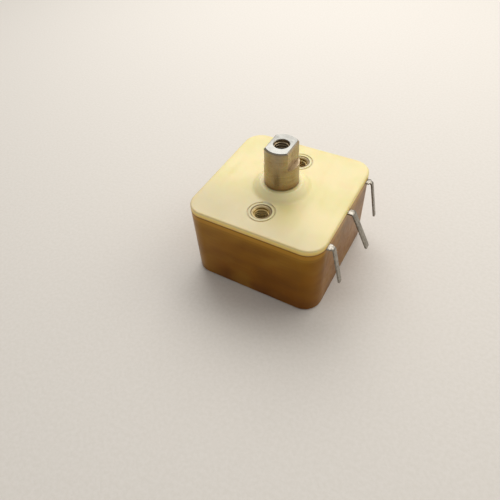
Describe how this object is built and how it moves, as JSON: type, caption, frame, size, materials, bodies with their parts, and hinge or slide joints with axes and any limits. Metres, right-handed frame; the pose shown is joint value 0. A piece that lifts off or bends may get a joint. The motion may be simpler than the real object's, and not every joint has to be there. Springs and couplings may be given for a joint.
{
  "type": "variable tuning capacitor",
  "caption": "Square two-gang film-dielectric variable tuning capacitor with an ivory front plate, amber cover, flatted shaft, brass threaded inserts and bent solder terminals.",
  "frame": {"origin": "middle of the cover's flat base, on the shaft's axis", "axes": "+Z along the shaft from the base to the knob end, +X towards the three solder terminals, +Y along the line of the two threaded inserts"},
  "size_m": [0.0293, 0.025, 0.0241],
  "materials": {
    "ivory_plastic": "moulded, waxy gloss",
    "amber_plastic": "moulded, deep translucent amber",
    "brass": "turned",
    "shaft_metal": "nickel plated, machined end",
    "tinned_metal": "tinned",
    "steel": "zinc plated",
    "brass_spacer": "turned",
    "leaf_metal": "rolled sheet",
    "film": "clear film",
    "board": "laminated board"
  },
  "bodies": {
    "housing": {"front_plate": "ivory_plastic", "cover": "amber_plastic", "threaded_inserts": "brass", "rear_plate": "board", "corner_posts": "steel", "post_nuts": "steel", "post_spacers": "brass_spacer", "terminal_near": "tinned_metal", "terminal_middle": "tinned_metal", "terminal_far": "tinned_metal", "stator_leaf_a_1": "leaf_metal", "stator_leaf_a_2": "leaf_metal", "stator_leaf_a_3": "leaf_metal", "stator_leaf_a_4": "leaf_metal", "stator_leaf_a_5": "leaf_metal", "stator_leaf_b_1": "leaf_metal", "stator_leaf_b_2": "leaf_metal", "stator_leaf_b_3": "leaf_metal", "stator_leaf_b_4": "leaf_metal", "stator_leaf_b_5": "leaf_metal", "film_01": "film", "film_02": "film", "film_03": "film", "film_04": "film", "film_05": "film", "film_06": "film", "film_07": "film", "film_08": "film", "film_09": "film", "film_10": "film", "film_11": "film", "film_12": "film", "film_13": "film", "film_14": "film", "film_15": "film", "film_16": "film", "film_17": "film", "film_18": "film"},
    "rotor": {"shaft": "shaft_metal", "stop_washer": "steel", "rotor_spacers": "brass_spacer", "retaining_ring": "steel", "rotor_leaf_a_1": "leaf_metal", "rotor_leaf_a_2": "leaf_metal", "rotor_leaf_a_3": "leaf_metal", "rotor_leaf_a_4": "leaf_metal", "rotor_leaf_b_1": "leaf_metal", "rotor_leaf_b_2": "leaf_metal", "rotor_leaf_b_3": "leaf_metal", "rotor_leaf_b_4": "leaf_metal"}
  },
  "joints": [
    {"name": "tuning", "type": "hinge", "parent": "housing", "child": "rotor", "pos_m": [0, 0, 0.0155], "axis": [0, 0, 1], "range_deg": [-180, 0]}
  ]
}
